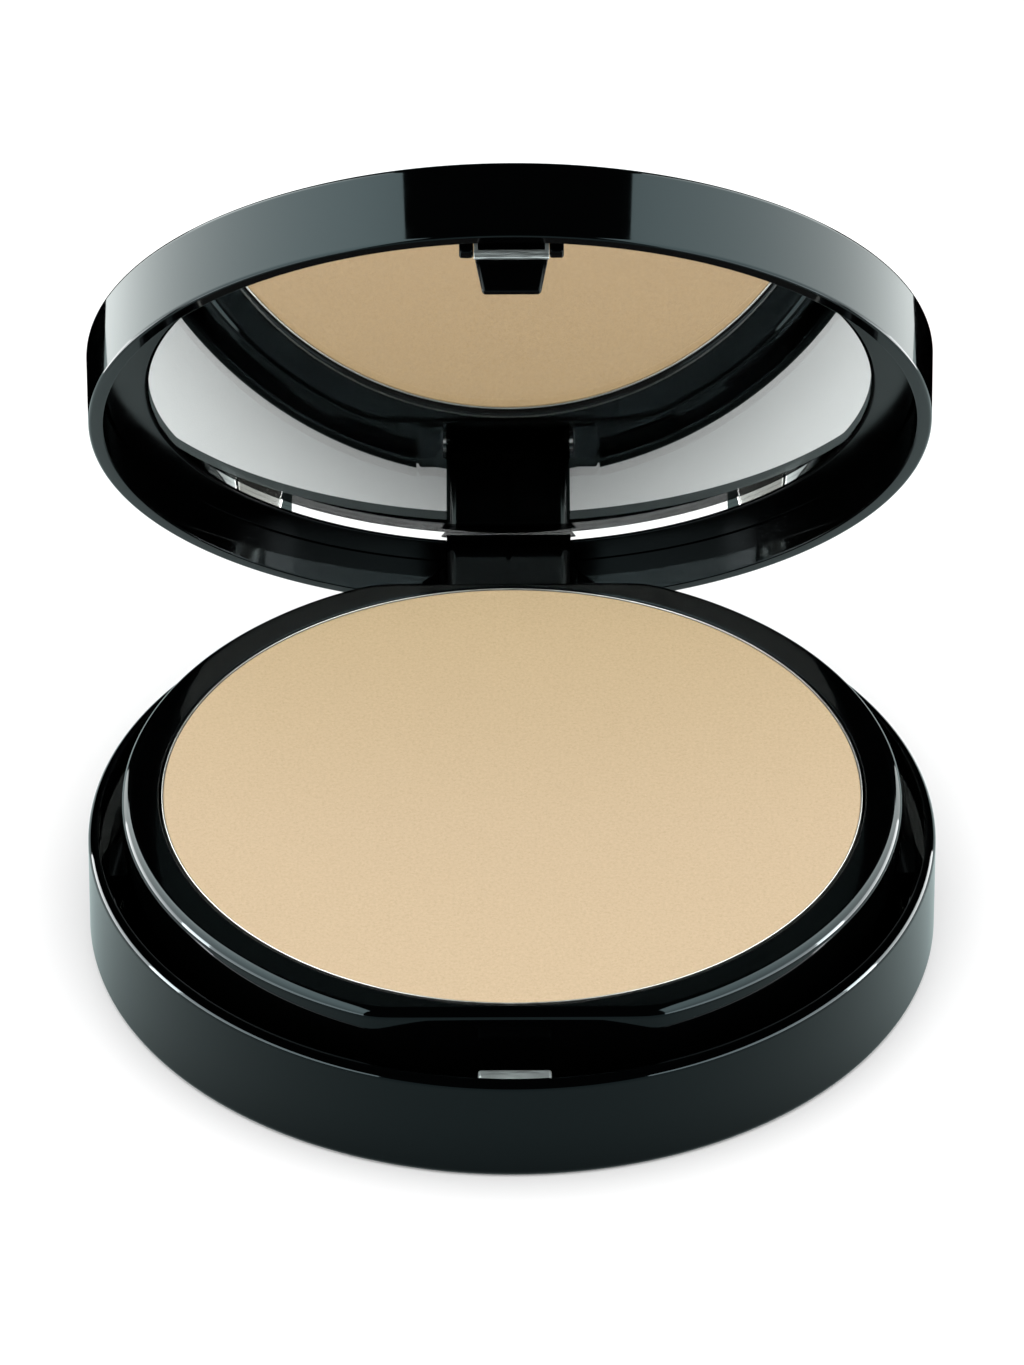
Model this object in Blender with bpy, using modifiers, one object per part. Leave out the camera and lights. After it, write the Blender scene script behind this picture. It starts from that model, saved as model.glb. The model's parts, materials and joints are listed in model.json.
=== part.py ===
"""Round powder compact: a two-part black case with a mirror in the lid and a pressed-powder pan.

Units are metres and +Z is up. The origin is the centre of the base's flat underside, where the compact
rests; +Y points to the hinge and -Y to the catch. The lid is modelled shut, hung on an empty on the hinge
axis, and the empty then swings it open to its rest angle.
"""
import math

import bpy

MM = 0.001
STEPS = 72

# Case
CASE_R = 36.0 * MM
LID_RIM_R = 35.95 * MM
LID_TOP_R = 36.15 * MM
LIP_INNER_R = 35.1 * MM
LIP_Z = 9.7 * MM
LIP_CHAMFER = 0.1 * MM
LIP_ROUND = 0.78 * MM
FOOT_ROUND = 0.6 * MM
FLOOR_TOP_Z = 1.6 * MM
BEAD_R = 34.3 * MM
BEAD_Z = 6.9 * MM
BEAD_T = 0.6 * MM
BEAD_FLAT = 0.1 * MM

# Blank label in the underside
LABEL_R = 25.7 * MM
LABEL_T = 0.25 * MM
LABEL_RECESS_R = 26.0 * MM
LABEL_RECESS_Z = 0.4 * MM

# Hinge: axis along X, low in the rear of the base
HINGE_Y = 33.0 * MM
HINGE_Z = 3.6 * MM
REST_OPENING = math.radians(60.7)
PIN_R = 0.75 * MM
PIN_HALF = 7.2 * MM
PIN_CHAMFER = 0.15 * MM
PIN_BORE_R = 0.9 * MM
PIN_SEAT_GAP = 0.08 * MM
KNUCKLE_R = 1.45 * MM
EAR_IN_X = 5.7 * MM
EAR_OUT_X = 7.85 * MM
EAR_REAR_Y = 35.05 * MM
EAR_FRONT_Y = 31.25 * MM
EAR_TOP_Z = 8.9 * MM
EAR_ROUND = 0.3 * MM
NOTCH_HALF = 8.05 * MM
NOTCH_FRONT_Y = 31.3 * MM
NOTCH_FLOOR_Z = 2.1 * MM

# Platform that carries the pan
PLATFORM_R = 33.1 * MM
PLATFORM_Z = 13.42 * MM
PLATFORM_FLAT_Y = 30.95 * MM
FLAT_HALF = 20.0 * MM
WEB_HALF = 11.4 * MM
PLATFORM_ROUND = 0.85 * MM
PLATFORM_WALL = 1.2 * MM
PLATFORM_FOOT_Z = 1.9 * MM
POCKET_R = 29.95 * MM
POCKET_CHAMFER = 0.15 * MM
POCKET_Z = 9.8 * MM
SNAP_R = 34.5 * MM
SNAP_Z = 5.4 * MM
SNAP_T = 1.0 * MM
SNAP_HALF_W = 2.4 * MM
SNAP_ANGLES = (0, 60, 120, 180, 240, 300)

# Powder pan and what is in it
PAN_R = 29.72 * MM
PAN_T = 0.18 * MM
PAN_BOTTOM_Z = 10.05 * MM
PAN_TOP_Z = 13.4 * MM
PAN_CORNER = 0.4 * MM
POWDER_R = 29.5 * MM
POWDER_Z = 13.34 * MM
POWDER_BOTTOM_Z = 10.3 * MM
POWDER_EDGE = 0.15 * MM
GLUE_R = 24.0 * MM
GLUE_T = 0.12 * MM

# Catch
STRIKE_HALF = 3.05 * MM
STRIKE_IN_Y = -33.15 * MM
STRIKE_OUT_Y = -34.6 * MM
STRIKE_Z = 9.15 * MM
STRIKE_T = 0.8 * MM
STRIKE_ROUND = 0.25 * MM
STRIKE_BLOCK_EDGE = 0.8 * MM
HOOK_TOP_HALF = 3.0 * MM
HOOK_TIP_HALF = 2.42 * MM
HOOK_IN_Y = -31.85 * MM
HOOK_OUT_Y = -32.75 * MM
HOOK_TIP_Z = 6.4 * MM
HOOK_ROOT_Z = 13.53 * MM
HOOK_TAPER_Z = 9.4 * MM
HOOK_ROUND = 0.3 * MM
CHEEK_IN_X = 3.16 * MM
CHEEK_OUT_X = 4.35 * MM
CHEEK_TIP_Z = 9.8 * MM
CHEEK_ROUND = 0.25 * MM
TRIM_HALF = 3.13 * MM
TRIM_OUT_Y = -33.15 * MM
TRIM_LOW_Z = 9.25 * MM
TRIM_FACE_Z = 10.0 * MM
TRIM_HIGH_Z = 10.7 * MM
TRIM_END_W = 0.35 * MM
TRIM_ROUND = 0.08 * MM

# Lid, in its shut position
LID_RIM_Z = 9.85 * MM
LID_TOP_Z = 16.75 * MM
LID_INNER_R = 34.65 * MM
LID_PLATE_T = 1.2 * MM
LID_TOP_ROUND = 0.5 * MM
LID_RIM_ROUND = 0.3 * MM
LID_RIM_CHAMFER = 0.15 * MM

# Mirror frame and mirror
FRAME_R = 34.55 * MM
FRAME_INNER_R = 31.1 * MM
FRAME_FACE_Z = 13.55 * MM
FRAME_CHAMFER = 0.1 * MM
FRAME_BACK_Z = 15.4 * MM
GLASS_R = 30.9 * MM
GLASS_CHAMFER = 0.12 * MM
GLASS_FACE_Z = 13.75 * MM
GLASS_T = 1.15 * MM
SILVER_R = 30.88 * MM
SILVER_T = 0.1 * MM
TAPE_R = 28.0 * MM
TAPE_T = 0.2 * MM
STACK_GAP = 0.06 * MM
ARM_HALF = 5.42 * MM
ARM_FRONT_Y = 31.3 * MM
ARM_REAR_Y = 34.0 * MM
ARM_LAP = 1.5 * MM
ARM_GROOVE_W = 0.4 * MM
ARM_GROOVE_D = 0.3 * MM
ARM_GROOVE_LOW_Z = 5.8 * MM
ARM_GROOVE_HIGH_Z = 13.25 * MM
ARM_BEVEL = 1.0 * MM
TAB_FRONT_Y = 29.2 * MM
TAB_T = 0.16 * MM

# How far a cutter or a joined block runs past the face it meets, and the gap between pieces that touch
EPS = 0.5 * MM
SEAT_GAP = 0.03 * MM


def clear_scene():
    for obj in list(bpy.data.objects):
        bpy.data.objects.remove(obj, do_unlink=True)


def make_collection(name):
    collection = bpy.data.collections.new(name)
    bpy.context.scene.collection.children.link(collection)
    return collection


def make_material(name, colour, roughness, metallic=0.0, transmission=0.0):
    material = bpy.data.materials.new(name)
    material.use_nodes = True
    shader = material.node_tree.nodes["Principled BSDF"]
    shader.inputs["Base Color"].default_value = (*colour, 1.0)
    shader.inputs["Roughness"].default_value = roughness
    shader.inputs["Metallic"].default_value = metallic
    shader.inputs["Transmission Weight"].default_value = transmission
    return material


def place(obj, collection, material=None, parent=None):
    """Moves an object to its collection, gives it its material and hangs it on its parent."""
    for owner in list(obj.users_collection):
        owner.objects.unlink(obj)
    collection.objects.link(obj)
    if material:
        obj.data.materials.append(material)
    if parent:
        obj.parent = parent
    return obj


def arc(centre_r, centre_z, radius, start, end, count=4):
    """Points (r, z) on an arc in a turned profile, with angles in degrees from +r towards +z."""
    points = []
    for i in range(count + 1):
        angle = math.radians(start + (end - start) * i / count)
        points.append((centre_r + radius * math.cos(angle), centre_z + radius * math.sin(angle)))
    return points


def turned(name, profile, closed=False):
    """A turned body from a profile of (r, z) points that runs down its outer side."""
    mesh = bpy.data.meshes.new(name)
    edges = [(i, i + 1) for i in range(len(profile) - 1)]
    if closed:
        edges.append((len(profile) - 1, 0))
    mesh.from_pydata([(r, 0.0, z) for r, z in profile], edges, [])
    obj = bpy.data.objects.new(name, mesh)
    bpy.context.scene.collection.objects.link(obj)
    screw = obj.modifiers.new("turn", "SCREW")
    screw.axis = "Z"
    screw.steps = STEPS
    screw.render_steps = STEPS
    screw.use_merge_vertices = True
    screw.merge_threshold = 0.00001
    screw.use_smooth_shade = True
    return obj


def box(name, low, high):
    """A box between two corners, with its origin at its centre and its scale applied."""
    centre = [(a + b) / 2 for a, b in zip(low, high)]
    bpy.ops.mesh.primitive_cube_add(size=1.0, location=centre)
    obj = bpy.context.object
    obj.name = name
    obj.scale = [b - a for a, b in zip(low, high)]
    bpy.ops.object.transform_apply(location=False, rotation=False, scale=True)
    return obj


def prism(name, outline, low_y, high_y):
    """A flat-sided body from an (x, z) outline, counter-clockwise seen from -Y, extruded along Y."""
    count = len(outline)
    vertices = [(x, low_y, z) for x, z in outline] + [(x, high_y, z) for x, z in outline]
    faces = [list(range(count)), list(range(2 * count - 1, count - 1, -1))]
    for i in range(count):
        j = (i + 1) % count
        faces.append([j, i, i + count, j + count])
    mesh = bpy.data.meshes.new(name)
    mesh.from_pydata(vertices, [], faces)
    obj = bpy.data.objects.new(name, mesh)
    bpy.context.scene.collection.objects.link(obj)
    return obj


def rod(name, radius, half_length, y, z, sides=32):
    """A cylinder along X, centred on x = 0."""
    bpy.ops.mesh.primitive_cylinder_add(
        vertices=sides, radius=radius, depth=2 * half_length,
        location=(0, y, z), rotation=(0, math.pi / 2, 0))
    obj = bpy.context.object
    obj.name = name
    return obj


def bevel(obj, width, segments=2, angle=40):
    modifier = obj.modifiers.new("round", "BEVEL")
    modifier.width = width
    modifier.segments = segments
    modifier.limit_method = "ANGLE"
    modifier.angle_limit = math.radians(angle)
    return modifier


def boolean(target, tool, operation):
    modifier = target.modifiers.new(operation.lower() + "_" + tool.name, "BOOLEAN")
    modifier.object = tool
    modifier.operation = operation
    modifier.solver = "EXACT"


def as_tool(obj, cutters, parent=None):
    """Makes an object a construction body: it shapes others and isn't a piece itself."""
    place(obj, cutters, parent=parent)
    obj.hide_render = True
    obj.display_type = "WIRE"
    return obj


# Base -----------------------------------------------------------------------------------------------------

def build_base_shell(parts, cutters, plastic):
    profile = [(0.0, FLOOR_TOP_Z), (LIP_INNER_R, FLOOR_TOP_Z)]
    profile += [(LIP_INNER_R, BEAD_Z - BEAD_T / 2)]
    profile += [(BEAD_R, BEAD_Z - BEAD_FLAT), (BEAD_R, BEAD_Z + BEAD_FLAT)]
    profile += [(LIP_INNER_R, BEAD_Z + BEAD_T / 2)]
    profile += [(LIP_INNER_R, LIP_Z - LIP_CHAMFER), (LIP_INNER_R + LIP_CHAMFER, LIP_Z)]
    profile += arc(CASE_R - LIP_ROUND, LIP_Z - LIP_ROUND, LIP_ROUND, 90, 0)
    profile += arc(CASE_R - FOOT_ROUND, FOOT_ROUND, FOOT_ROUND, 0, -90)
    profile += [(LABEL_RECESS_R, 0.0), (LABEL_RECESS_R, LABEL_RECESS_Z), (0.0, LABEL_RECESS_Z)]
    shell = place(turned("base_shell", profile), parts, plastic)

    notch = box("hinge_notch", (-NOTCH_HALF, NOTCH_FRONT_Y, NOTCH_FLOOR_Z),
                (NOTCH_HALF, CASE_R + EPS, LIP_Z + EPS))
    boolean(shell, as_tool(notch, cutters), "DIFFERENCE")

    for side, label in ((-1, "left"), (1, "right")):
        low_x, high_x = sorted((side * EAR_IN_X, side * EAR_OUT_X))
        ear = box("ear_" + label, (low_x, EAR_FRONT_Y, FLOOR_TOP_Z - EPS),
                  (high_x, EAR_REAR_Y, EAR_TOP_Z))
        bevel(ear, EAR_ROUND)
        boolean(shell, as_tool(ear, cutters), "UNION")

    bore = rod("pin_seat", PIN_R + PIN_SEAT_GAP, PIN_HALF + PIN_SEAT_GAP, HINGE_Y, HINGE_Z)
    boolean(shell, as_tool(bore, cutters), "DIFFERENCE")

    block_half = STRIKE_HALF + STRIKE_BLOCK_EDGE
    block = box("strike_block", (-block_half, -LIP_INNER_R - EPS, FLOOR_TOP_Z - EPS),
                (block_half, STRIKE_IN_Y + SEAT_GAP, STRIKE_Z - STRIKE_T - SEAT_GAP))
    boolean(shell, as_tool(block, cutters), "UNION")
    return shell


def build_label(parts, paper):
    label = turned("base_label", [(0.0, LABEL_T), (LABEL_R, LABEL_T), (LABEL_R, 0.0), (0.0, 0.0)])
    return place(label, parts, paper)


def build_platform(parts, cutters, plastic):
    inner_r = PLATFORM_R - PLATFORM_WALL
    profile = [(0.0, POCKET_Z), (POCKET_R, POCKET_Z), (POCKET_R, PLATFORM_Z - POCKET_CHAMFER),
               (POCKET_R + POCKET_CHAMFER, PLATFORM_Z)]
    profile += arc(PLATFORM_R - PLATFORM_ROUND, PLATFORM_Z - PLATFORM_ROUND, PLATFORM_ROUND, 90, 0)
    profile += [(PLATFORM_R, PLATFORM_FOOT_Z), (inner_r, PLATFORM_FOOT_Z)]
    profile += [(inner_r, POCKET_Z - PLATFORM_WALL), (0.0, POCKET_Z - PLATFORM_WALL)]
    platform = place(turned("pan_platform", profile), parts, plastic)

    for degrees in SNAP_ANGLES:
        lug = box("snap_lug_%d" % degrees, (PLATFORM_R - PLATFORM_WALL / 2, -SNAP_HALF_W, SNAP_Z),
                  (SNAP_R, SNAP_HALF_W, SNAP_Z + SNAP_T))
        turn = math.radians(degrees)
        centre = lug.location.copy()
        lug.location = (centre.x * math.cos(turn), centre.x * math.sin(turn), centre.z)
        lug.rotation_euler.z = turn
        boolean(platform, as_tool(lug, cutters), "UNION")
    for side, label in ((-1, "front"), (1, "rear")):
        wall_in = side * (PLATFORM_FLAT_Y - PLATFORM_WALL)
        wall_out = side * (PLATFORM_FLAT_Y + EPS)
        low_y, high_y = sorted((wall_in, wall_out))
        web = box("flat_web_" + label, (-WEB_HALF, low_y, PLATFORM_FOOT_Z),
                  (WEB_HALF, high_y, POCKET_Z - EPS))
        boolean(platform, as_tool(web, cutters), "UNION")
        low_y, high_y = sorted((side * PLATFORM_FLAT_Y, side * (CASE_R + EPS)))
        cut = box("flat_cut_" + label, (-FLAT_HALF, low_y, -EPS), (FLAT_HALF, high_y, PLATFORM_Z + EPS))
        boolean(platform, as_tool(cut, cutters), "DIFFERENCE")
    return platform


def build_pan(parts, aluminium):
    profile = [(0.0, PAN_BOTTOM_Z + PAN_T), (PAN_R - PAN_T, PAN_BOTTOM_Z + PAN_T),
               (PAN_R - PAN_T, PAN_TOP_Z), (PAN_R, PAN_TOP_Z)]
    profile += arc(PAN_R - PAN_CORNER, PAN_BOTTOM_Z + PAN_CORNER, PAN_CORNER, 0, -90, 3)
    profile += [(0.0, PAN_BOTTOM_Z)]
    return place(turned("powder_pan", profile), parts, aluminium)


def build_powder(parts, powder):
    profile = [(0.0, POWDER_Z), (POWDER_R - POWDER_EDGE, POWDER_Z), (POWDER_R, POWDER_Z - POWDER_EDGE),
               (POWDER_R, POWDER_BOTTOM_Z), (0.0, POWDER_BOTTOM_Z)]
    return place(turned("pressed_powder", profile), parts, powder)


def build_pan_glue(parts, glue):
    low = POCKET_Z + (PAN_BOTTOM_Z - POCKET_Z - GLUE_T) / 2
    profile = [(0.0, low + GLUE_T), (GLUE_R, low + GLUE_T), (GLUE_R, low), (0.0, low)]
    return place(turned("pan_adhesive", profile), parts, glue)


def build_strike_plate(parts, steel):
    plate = box("strike_plate", (-STRIKE_HALF, STRIKE_OUT_Y, STRIKE_Z - STRIKE_T),
                (STRIKE_HALF, STRIKE_IN_Y, STRIKE_Z))
    bevel(plate, STRIKE_ROUND, 3)
    return place(plate, parts, steel)


def build_hinge_pin(parts, steel):
    pin = rod("hinge_pin", PIN_R, PIN_HALF, HINGE_Y, HINGE_Z)
    bevel(pin, PIN_CHAMFER, 1)
    return place(pin, parts, steel)


# Lid ------------------------------------------------------------------------------------------------------

def hang(obj, pivot):
    """Hangs a piece modelled in the shut position on the hinge empty."""
    obj.parent = pivot
    obj.location = (obj.location.x, obj.location.y - HINGE_Y, obj.location.z - HINGE_Z)
    return obj


def build_lid_shell(parts, pivot, plastic):
    plate_low = LID_TOP_Z - LID_PLATE_T
    profile = [(0.0, LID_TOP_Z)]
    profile += arc(LID_TOP_R - LID_TOP_ROUND, LID_TOP_Z - LID_TOP_ROUND, LID_TOP_ROUND, 90, 0)
    profile += arc(LID_RIM_R - LID_RIM_ROUND, LID_RIM_Z + LID_RIM_ROUND, LID_RIM_ROUND, 0, -90, 3)
    profile += [(LID_INNER_R + LID_RIM_CHAMFER, LID_RIM_Z), (LID_INNER_R, LID_RIM_Z + LID_RIM_CHAMFER)]
    profile += [(LID_INNER_R, plate_low), (0.0, plate_low)]
    return hang(place(turned("lid_shell", profile), parts, plastic), pivot)


def build_mirror_frame(parts, cutters, pivot, plastic):
    profile = [(FRAME_R, FRAME_BACK_Z), (FRAME_R, FRAME_FACE_Z),
               (FRAME_INNER_R + FRAME_CHAMFER, FRAME_FACE_Z), (FRAME_INNER_R, FRAME_FACE_Z + FRAME_CHAMFER),
               (FRAME_INNER_R, FRAME_BACK_Z)]
    frame = hang(place(turned("mirror_frame", profile, closed=True), parts, plastic), pivot)

    knuckle = rod("arm_knuckle", KNUCKLE_R, ARM_HALF, HINGE_Y, HINGE_Z)
    arm = box("hinge_arm", (-ARM_HALF, ARM_FRONT_Y, HINGE_Z),
              (ARM_HALF, ARM_REAR_Y, FRAME_FACE_Z + ARM_LAP))
    bevel(arm, ARM_BEVEL, 4)
    tab = box("arm_tab", (-ARM_HALF, TAB_FRONT_Y, FRAME_FACE_Z),
              (ARM_HALF, ARM_FRONT_Y + EPS, FRAME_FACE_Z + TAB_T))
    groove = box("arm_groove", (-ARM_GROOVE_W / 2, ARM_FRONT_Y - EPS, ARM_GROOVE_LOW_Z),
                 (ARM_GROOVE_W / 2, ARM_FRONT_Y + ARM_GROOVE_D, ARM_GROOVE_HIGH_Z))
    bore = rod("arm_bore", PIN_BORE_R, ARM_HALF + EPS, HINGE_Y, HINGE_Z)
    joined = ((tab, "UNION"), (arm, "UNION"), (knuckle, "UNION"))
    for tool, operation in joined + ((groove, "DIFFERENCE"), (bore, "DIFFERENCE")):
        hang(as_tool(tool, cutters), pivot)
        boolean(frame, tool, operation)
    for side, label in ((-1, "left"), (1, "right")):
        low_x, high_x = sorted((side * CHEEK_IN_X, side * CHEEK_OUT_X))
        cheek = box("hook_cheek_" + label, (low_x, TRIM_OUT_Y, CHEEK_TIP_Z),
                    (high_x, HOOK_IN_Y, FRAME_FACE_Z + ARM_LAP))
        bevel(cheek, CHEEK_ROUND)
        hang(as_tool(cheek, cutters), pivot)
        boolean(frame, cheek, "UNION")
    return frame


def build_disc(name, radius, low, thickness, edge, parts, pivot, material):
    """A flat disc in the lid, with a small chamfer on its lower edge."""
    profile = [(0.0, low + thickness), (radius, low + thickness), (radius, low + edge)]
    if edge:
        profile.append((radius - edge, low))
    profile.append((0.0, low))
    return hang(place(turned(name, profile), parts, material), pivot)


def build_hook(parts, pivot, plastic):
    """The catch's tongue: it hangs from the frame and tapers to its tip."""
    outline = [(-HOOK_TIP_HALF, HOOK_TIP_Z), (HOOK_TIP_HALF, HOOK_TIP_Z), (HOOK_TOP_HALF, HOOK_TAPER_Z),
               (HOOK_TOP_HALF, HOOK_ROOT_Z), (-HOOK_TOP_HALF, HOOK_ROOT_Z), (-HOOK_TOP_HALF, HOOK_TAPER_Z)]
    hook = prism("lid_hook", outline, HOOK_OUT_Y, HOOK_IN_Y)
    bevel(hook, HOOK_ROUND, 3)
    return hang(place(hook, parts, plastic), pivot)


def build_hook_trim(parts, cutters, pivot, steel):
    """The bright strip across the tongue's root: a band with a tab rising at each end."""
    back_y = HOOK_OUT_Y - SEAT_GAP
    trim = box("hook_trim", (-TRIM_HALF, TRIM_OUT_Y, TRIM_LOW_Z), (TRIM_HALF, back_y, TRIM_HIGH_Z))
    bevel(trim, TRIM_ROUND)
    hang(place(trim, parts, steel), pivot)
    half = TRIM_HALF - TRIM_END_W
    recess = box("trim_recess", (-half, TRIM_OUT_Y - EPS, TRIM_FACE_Z),
                 (half, back_y + EPS, TRIM_HIGH_Z + EPS))
    hang(as_tool(recess, cutters), pivot)
    boolean(trim, recess, "DIFFERENCE")
    return trim


def main():
    clear_scene()
    parts = make_collection("powder_compact")
    cutters = make_collection("construction")

    plastic = make_material("case_black", (0.008, 0.009, 0.010), 0.12)
    frame_black = make_material("frame_black", (0.008, 0.009, 0.010), 0.18)
    aluminium = make_material("pan_aluminium", (0.80, 0.79, 0.77), 0.30, 1.0)
    powder = make_material("powder_beige", (0.70, 0.52, 0.33), 0.85)
    steel = make_material("bright_trim", (0.62, 0.63, 0.63), 0.28, 1.0)
    pin_steel = make_material("pin_steel", (0.55, 0.55, 0.56), 0.30, 1.0)
    glass = make_material("mirror_glass", (0.95, 0.97, 0.97), 0.02, 0.0, 1.0)
    silver = make_material("mirror_silver", (0.90, 0.91, 0.91), 0.03, 1.0)
    tape = make_material("tape_white", (0.85, 0.85, 0.83), 0.60)
    glue = make_material("glue_clear", (0.80, 0.76, 0.66), 0.40)
    paper = make_material("label_grey", (0.16, 0.16, 0.17), 0.55)

    build_base_shell(parts, cutters, plastic)
    build_label(parts, paper)
    build_platform(parts, cutters, plastic)
    build_pan(parts, aluminium)
    build_powder(parts, powder)
    build_pan_glue(parts, glue)
    build_strike_plate(parts, steel)
    build_hinge_pin(parts, pin_steel)

    pivot = bpy.data.objects.new("lid_pivot", None)
    parts.objects.link(pivot)
    pivot.location = (0.0, HINGE_Y, HINGE_Z)
    build_lid_shell(parts, pivot, plastic)
    build_mirror_frame(parts, cutters, pivot, frame_black)
    silver_low = GLASS_FACE_Z + GLASS_T + STACK_GAP
    tape_low = silver_low + SILVER_T + STACK_GAP
    build_disc("mirror_glass", GLASS_R, GLASS_FACE_Z, GLASS_T, GLASS_CHAMFER, parts, pivot, glass)
    build_disc("mirror_silver", SILVER_R, silver_low, SILVER_T, 0.0, parts, pivot, silver)
    build_disc("mirror_tape", TAPE_R, tape_low, TAPE_T, 0.0, parts, pivot, tape)
    build_hook(parts, pivot, frame_black)
    build_hook_trim(parts, cutters, pivot, steel)
    pivot.rotation_euler.x = -REST_OPENING


main()
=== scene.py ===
"""Looks for the powder compact: finer bodies, finishes, floor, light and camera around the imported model.

Lengths below are in millimetres and become metres through MM. Lid pieces are written in the lid's shut
position and swung open about the record's hinge before they ride on the lid.
"""
import json
import math

import bmesh
import bpy
from mathutils import Matrix, Vector


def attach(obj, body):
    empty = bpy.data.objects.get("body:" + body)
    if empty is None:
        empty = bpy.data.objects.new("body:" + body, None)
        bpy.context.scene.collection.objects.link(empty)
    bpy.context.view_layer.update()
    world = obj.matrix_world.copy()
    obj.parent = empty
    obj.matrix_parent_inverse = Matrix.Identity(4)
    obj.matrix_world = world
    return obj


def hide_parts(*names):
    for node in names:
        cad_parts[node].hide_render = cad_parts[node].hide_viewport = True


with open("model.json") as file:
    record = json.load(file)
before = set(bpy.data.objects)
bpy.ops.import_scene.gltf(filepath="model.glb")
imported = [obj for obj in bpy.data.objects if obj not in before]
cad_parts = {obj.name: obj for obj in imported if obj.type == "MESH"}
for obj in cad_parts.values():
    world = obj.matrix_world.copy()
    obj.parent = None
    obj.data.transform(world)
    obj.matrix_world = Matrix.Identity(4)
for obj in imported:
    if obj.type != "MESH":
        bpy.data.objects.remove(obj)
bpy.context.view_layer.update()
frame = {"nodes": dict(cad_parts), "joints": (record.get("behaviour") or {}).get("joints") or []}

MM = 0.001
STEPS = 288           # facets round a turned body
EPS = 0.5             # how far a cutter or a joined block reaches past the surface
MANY_SIDED = 9        # a face with this many corners or more is shaded flat
SHARP_DEG = 30        # an edge that turns more than this stays sharp

# Hinge, and the matrix that swings a shut lid open
HINGE = frame["joints"][0]
HINGE_Y, HINGE_Z = HINGE["pos_m"][1] / MM, HINGE["pos_m"][2] / MM
OPENING = -math.radians(HINGE["range_deg"][0])
TO_REST = (Matrix.Translation((0, HINGE_Y * MM, HINGE_Z * MM))
           @ Matrix.Rotation(OPENING, 4, Vector(HINGE["axis"]))
           @ Matrix.Translation((0, -HINGE_Y * MM, -HINGE_Z * MM)))

# Base shell
CASE_R, LIP_INNER_R, LIP_Z = 36.0, 35.1, 9.7
LIP_INNER_ROUND, LIP_ROUND, FOOT_ROUND = 0.1, 0.78, 0.6
BASE_FLOOR_Z, FLOOR_ROUND = 1.6, 0.3
GROOVE_R, GROOVE_ENDS_Z, GROOVE_WALLS_Z = 34.3, (6.6, 7.2), (6.8, 7.0)
LABEL_R, LABEL_DEPTH = 26.0, 0.4
NOTCH_HALF, NOTCH_Y, NOTCH_Z = 8.05, 31.3, 2.1
EAR_X, EAR_Y, EAR_Z, EAR_ROUND = (5.7, 7.85), (31.25, 35.05), (1.1, 8.9), 0.3
PIN_R, PIN_HALF, PIN_ROUND = 0.75, 7.2, 0.15
EAR_BORE_R, EAR_BORE_HALF = 0.83, 7.28
BLOCK_HALF, BLOCK_Y, BLOCK_Z = 3.85, -33.12, (1.1, 8.32)
STRIKE_HALF, STRIKE_Y, STRIKE_Z, STRIKE_ROUND = 3.05, (-34.6, -33.15), (8.35, 9.15), 0.25

# Platform, pan and powder
PLATFORM_R, PLATFORM_Z, PLATFORM_FLAT_Y = 33.1, 13.42, 30.95
PLATFORM_ROUND, PLATFORM_SKIRT_R, PLATFORM_SKIRT_Z, PLATFORM_UNDER_Z = 0.85, 31.9, 1.9, 8.6
CORNER_SOFTNESS, SOFT_LIMIT = 0.22, 50
POCKET_R, POCKET_Z, POCKET_LIP, POCKET_FILLET = 29.95, 9.8, 0.15, 0.3
LUG_X, LUG_HALF, LUG_Z, LUG_STEP_DEG = (32.5, 34.5), 2.4, (5.4, 6.4), 60
PAN_R, PAN_TOP_Z, PAN_BOTTOM_Z, PAN_T = 29.72, 13.4, 10.05, 0.12
PAN_EDGE, PAN_RIM_ROUND, PAN_FOOT_ROUND = 0.03, 0.05, 0.4
POWDER_R, POWDER_Z, POWDER_BOTTOM_Z = 29.58, 13.34, 10.3
POWDER_ROUND, POWDER_BEVEL, POWDER_FLAT_R = 0.15, 0.25, 20

# Lid shell, mirror and mirror frame, in the shut position
LID_RIM_R, LID_TOP_R, LID_INNER_R = 35.95, 36.15, 34.65
LID_RIM_Z, LID_TOP_Z, LID_PLATE_T = 9.85, 16.75, 1.2
LID_TOP_ROUND, LID_RIM_ROUND, LID_INNER_ROUND = 0.5, 0.3, 0.15
FRAME_R, FRAME_INNER_R, FRAME_FACE_Z, FRAME_BACK_Z = 34.55, 31.1, 13.55, 15.4
FRAME_OUTER_ROUND, FRAME_INNER_ROUND = 0.1, 0.15
GLASS_R, GLASS_FACE_Z, GLASS_T, GLASS_CHAMFER = 30.9, 13.75, 1.15, 0.06
SILVER_R, SILVER_T, STACK_GAP = 30.88, 0.1, 0.005

# Hinge arm, with its tab over the glass and its groove
ARM_HALF, ARM_Y, ARM_LAP, ARM_ROUND = 5.42, (31.3, 34.0), 1.5, 1.0
TAB_Y, TAB_Z = (29.2, 31.8), (FRAME_FACE_Z + 0.02, FRAME_FACE_Z + 0.16)
KNUCKLE_R, ARM_BORE_R = 1.45, 0.9
SLOT_HALF, SLOT_Y, SLOT_Z = 0.2, 31.6, (5.8, 13.25)

# Catch
CHEEK_X, CHEEK_Y, CHEEK_Z, CHEEK_ROUND = (3.16, 4.35), (-33.15, -31.85), (9.8, FRAME_FACE_Z + 0.6), 0.25
HOOK_TIP_HALF, HOOK_HALF, HOOK_Y, HOOK_ROUND = 2.42, 3.0, (-32.75, -31.85), 0.3
HOOK_TIP_Z, HOOK_TAPER_Z, HOOK_TOP_Z = 6.4, 9.4, 13.53
TRIM_HALF, TRIM_Y, TRIM_Z, TRIM_ROUND = 3.13, (-33.15, -32.78), (9.25, 10.7), 0.08
RECESS_HALF, RECESS_BACK_Y, RECESS_Z = 2.78, -32.3, (10.0, 11.2)

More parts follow.
